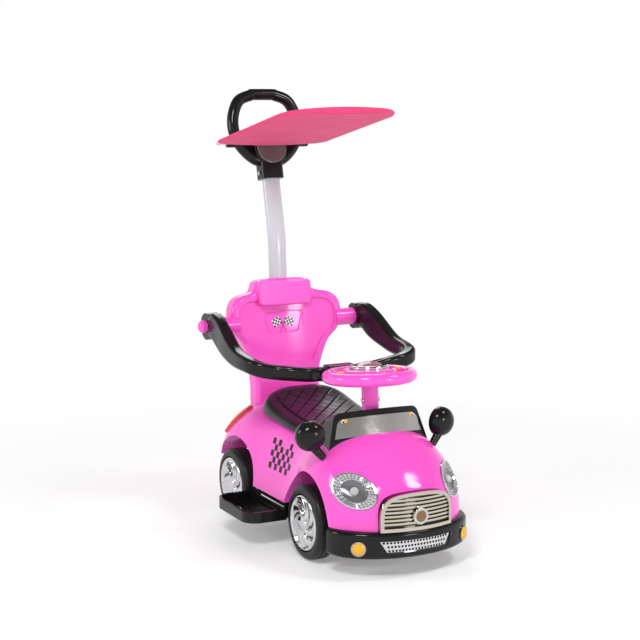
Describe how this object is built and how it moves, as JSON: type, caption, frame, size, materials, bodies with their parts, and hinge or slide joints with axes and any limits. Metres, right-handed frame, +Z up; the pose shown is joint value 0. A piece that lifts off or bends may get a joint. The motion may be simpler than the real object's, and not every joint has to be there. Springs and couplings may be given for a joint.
{
  "type": "push car with handle",
  "caption": "Toddler ride-on push car with rounded body, storage seat, guard rail, steered front wheels, parent push pole with ring handle and tilting canopy.",
  "frame": {"origin": "on the floor under the middle of the bounding box", "axes": "+Z up, -Y toward the car's nose, -X the car's right side"},
  "size_m": [0.47, 0.7455, 0.958],
  "materials": {
    "pink": "glossy moulded pink",
    "black": "glossy moulded black",
    "seat": "satin black, quilted",
    "tyre": "hard black plastic tyre",
    "chrome": "plated plastic",
    "steel": "zinc plated",
    "pole": "light grey paint",
    "wire": "white paint",
    "cloth": "raspberry woven cloth",
    "red": "red lens",
    "amber": "amber lens",
    "orange": "orange button",
    "clear": "clear lens",
    "mirror": "silver film",
    "grey": "dark grey disc",
    "board": "circuit board",
    "cell": "battery cell sleeve"
  },
  "bodies": {
    "car": {"body_shell": "pink", "backrest_front": "pink", "backrest_rear": "pink", "pivot_knobs": "pink", "chassis_base": "black", "front_bumper": "black", "windscreen_frame": "black", "side_mirrors": "black", "push_handle": "black", "canopy_clips": "black", "fog_bezels": "black", "front_axle_beam": "black", "radiator_grille": "chrome", "grille_badge": "chrome", "bumper_mesh": "chrome", "headlight_reflectors": "chrome", "chassis_screws": "steel", "pivot_bolts": "steel", "pole_bolt": "steel", "rear_axle": "steel", "rear_axle_caps": "steel", "kingpins": "steel", "seat_hinge_pins": "steel", "push_pole": "pole", "tail_lights": "red", "fog_lenses": "amber", "headlight_lenses": "clear", "windscreen_pane": "mirror", "mirror_glasses": "mirror", "handle_disc": "grey"},
    "steering": {"steering_wheel": "pink", "steering_cover": "black", "steering_column": "steel", "column_bolt": "steel", "dash_bezel": "chrome", "batteries": "cell", "circuit_board": "board", "speaker": "tyre"},
    "horn": {"horn_dome": "pink"},
    "button_l": {"button_left": "orange"},
    "button_r": {"button_right": "orange"},
    "tie": {"tie_rod": "black"},
    "knuckle_l": {"knuckle_left": "black"},
    "knuckle_r": {"knuckle_right": "black"},
    "wheel_fl": {"wheel_front_left": "tyre", "hubcap_front_left": "chrome"},
    "wheel_fr": {"wheel_front_right": "tyre", "hubcap_front_right": "chrome"},
    "wheel_rl": {"wheel_rear_left": "tyre", "hubcap_rear_left": "chrome"},
    "wheel_rr": {"wheel_rear_right": "tyre", "hubcap_rear_right": "chrome"},
    "guard_rail": {"guard_arm_left": "black", "guard_arm_right": "black", "guard_clasp": "black"},
    "seat": {"seat_lid": "seat"},
    "canopy": {"canopy_wire": "wire", "canopy_cover": "cloth"},
    "footboard_r": {"footboard_right": "black"},
    "footboard_l": {"footboard_left": "black"}
  },
  "joints": [
    {"name": "steering_turn", "type": "hinge", "parent": "car", "child": "steering", "pos_m": [0, -0.162, 0.369], "axis": [0, 0.0698, 0.9976], "range_deg": [-32, 32]},
    {"name": "knuckle_turn_left", "type": "hinge", "parent": "car", "child": "knuckle_l", "pos_m": [0.088, -0.166, 0.077], "axis": [0, 0, 1], "range_deg": [-21, 21]},
    {"name": "knuckle_turn_right", "type": "hinge", "parent": "car", "child": "knuckle_r", "pos_m": [-0.088, -0.166, 0.077], "axis": [0, 0, 1], "range_deg": [-21, 21]},
    {"name": "tie_rod_shift", "type": "slide", "parent": "car", "child": "tie", "axis": [1, 0, 0], "range_m": [-0.0148, 0.0148]},
    {"name": "spin_front_left", "type": "hinge", "parent": "knuckle_l", "child": "wheel_fl", "pos_m": [0.135, -0.166, 0.077], "axis": [1, 0, 0], "continuous": true},
    {"name": "spin_front_right", "type": "hinge", "parent": "knuckle_r", "child": "wheel_fr", "pos_m": [-0.135, -0.166, 0.077], "axis": [1, 0, 0], "continuous": true},
    {"name": "spin_rear_left", "type": "hinge", "parent": "car", "child": "wheel_rl", "pos_m": [0.135, 0.197, 0.077], "axis": [1, 0, 0], "continuous": true},
    {"name": "spin_rear_right", "type": "hinge", "parent": "car", "child": "wheel_rr", "pos_m": [-0.135, 0.197, 0.077], "axis": [1, 0, 0], "continuous": true},
    {"name": "guard_lift", "type": "hinge", "parent": "car", "child": "guard_rail", "pos_m": [0, 0.232, 0.432], "axis": [-1, 0, 0], "range_deg": [0, 100]},
    {"name": "seat_lift", "type": "hinge", "parent": "car", "child": "seat", "pos_m": [0, -0.11609, 0.2131], "axis": [1, 0, 0], "range_deg": [0, 18]},
    {"name": "canopy_tilt", "type": "hinge", "parent": "car", "child": "canopy", "pos_m": [0, 0.331, 0.833], "axis": [-1, 0, 0], "range_deg": [-18, 20]},
    {"name": "footboard_slide_right", "type": "slide", "parent": "car", "child": "footboard_r", "axis": [1, 0, 0], "range_m": [0, 0.066]},
    {"name": "footboard_slide_left", "type": "slide", "parent": "car", "child": "footboard_l", "axis": [-1, 0, 0], "range_m": [0, 0.066]},
    {"name": "horn_press", "type": "slide", "parent": "steering", "child": "horn", "axis": [0, -0.0698, -0.9976], "range_m": [0, 0.002], "stiffness_N_per_m": 600},
    {"name": "button_press_left", "type": "slide", "parent": "steering", "child": "button_l", "axis": [0, -0.0698, -0.9976], "range_m": [0, 0.002], "stiffness_N_per_m": 400},
    {"name": "button_press_right", "type": "slide", "parent": "steering", "child": "button_r", "axis": [0, -0.0698, -0.9976], "range_m": [0, 0.002], "stiffness_N_per_m": 400}
  ],
  "couplings": [
    {"joint": "knuckle_turn_left", "follows": "steering_turn", "ratio": 0.63128},
    {"joint": "knuckle_turn_right", "follows": "steering_turn", "ratio": 0.63128},
    {"joint": "tie_rod_shift", "follows": "steering_turn", "m_per_rad": 0.025251}
  ]
}
